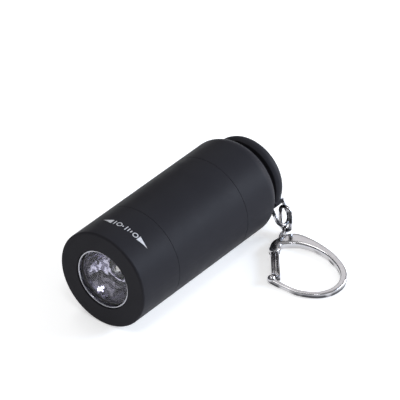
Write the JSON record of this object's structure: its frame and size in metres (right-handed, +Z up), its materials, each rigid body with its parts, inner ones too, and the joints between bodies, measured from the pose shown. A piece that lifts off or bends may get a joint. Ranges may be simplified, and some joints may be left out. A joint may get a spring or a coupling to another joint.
{
  "type": "keychain flashlight",
  "caption": "Small cylindrical torch with a twist-switch head, a pull-off tail cap over a charging plug, and a linked spring-gate clip.",
  "frame": {"origin": "on the torch axis at the middle of the barrel", "axes": "-Y along the axis out of the lens, +Y toward the tail, +Z up, +X toward the side where the clip lies"},
  "size_m": [0.0474, 0.0559, 0.024],
  "materials": {
    "body": "soft-touch matt black coating on ABS",
    "trim": "bright metallised plastic",
    "window": "clear polished acrylic",
    "gasket": "matt black silicone",
    "reflector": "vacuum-metallised plastic cup",
    "carrier": "white moulded ABS",
    "emitter_base": "white LED package",
    "emitter_dome": "clear silicone dome over a yellow phosphor",
    "circuit_board": "green solder mask",
    "contacts": "gold-plated spring brass",
    "chips": "black moulded epoxy",
    "steel": "nickel-plated steel",
    "wrap": "blue heat-shrink sleeve",
    "foam": "closed-cell foam",
    "tongue": "white glass-filled nylon",
    "chrome": "bright chrome plate on zinc and steel"
  },
  "bodies": {
    "barrel": {"barrel_sleeve": "body", "core": "carrier", "head_seal": "gasket", "tail_seal": "gasket", "switch_stator": "circuit_board", "wiper_contacts": "contacts", "battery_cell": "steel", "battery_wrap": "wrap", "battery_tabs": "steel", "battery_pads": "foam", "charge_board": "circuit_board", "board_chips": "chips", "usb_shell": "steel", "usb_tongue": "tongue", "usb_contacts": "contacts"},
    "head": {"head_shell": "body", "lens_trim_ring": "trim", "lens": "window", "lens_gasket": "gasket", "reflector": "reflector", "optics_carrier": "carrier", "led_base": "emitter_base", "led_dome": "emitter_dome", "led_board": "circuit_board", "led_leads": "contacts", "switch_rotor": "circuit_board", "rotor_pads": "contacts", "snap_ring": "steel"},
    "tail_cap": {"tail_cap": "body"},
    "ring": {"ring": "chrome"},
    "chain_link": {"chain_link": "chrome"},
    "clip": {"clip_frame": "chrome", "gate_pin": "chrome"},
    "gate": {"gate": "chrome", "gate_spring": "steel"}
  },
  "joints": [
    {"name": "head_twist", "type": "hinge", "parent": "barrel", "child": "head", "pos_m": [0, 0, 0], "axis": [0, -1, 0], "range_deg": [0, 90]},
    {"name": "cap_pull", "type": "slide", "parent": "barrel", "child": "tail_cap", "axis": [0, 1, 0], "range_m": [0, 0.018]},
    {"name": "ring_swing", "type": "hinge", "parent": "tail_cap", "child": "ring", "pos_m": [0.00829, 0.02784, -0.00422], "axis": [0, -1, 0], "range_deg": [-15, 50]},
    {"name": "link_swing", "type": "hinge", "parent": "ring", "child": "chain_link", "pos_m": [0.0111, 0.02784, -0.00945], "axis": [0, 1, 0], "range_deg": [0, 40]},
    {"name": "clip_swing", "type": "hinge", "parent": "chain_link", "child": "clip", "pos_m": [0.0111, 0.02784, -0.011], "axis": [-1, 0, 0], "range_deg": [-30, 30]},
    {"name": "gate_swing", "type": "hinge", "parent": "clip", "child": "gate", "pos_m": [0.0142, 0.0195, -0.0111], "axis": [0, 0, 1], "range_deg": [0, 25], "stiffness_Nm_per_rad": 0.001, "springref_deg": -11.46}
  ]
}
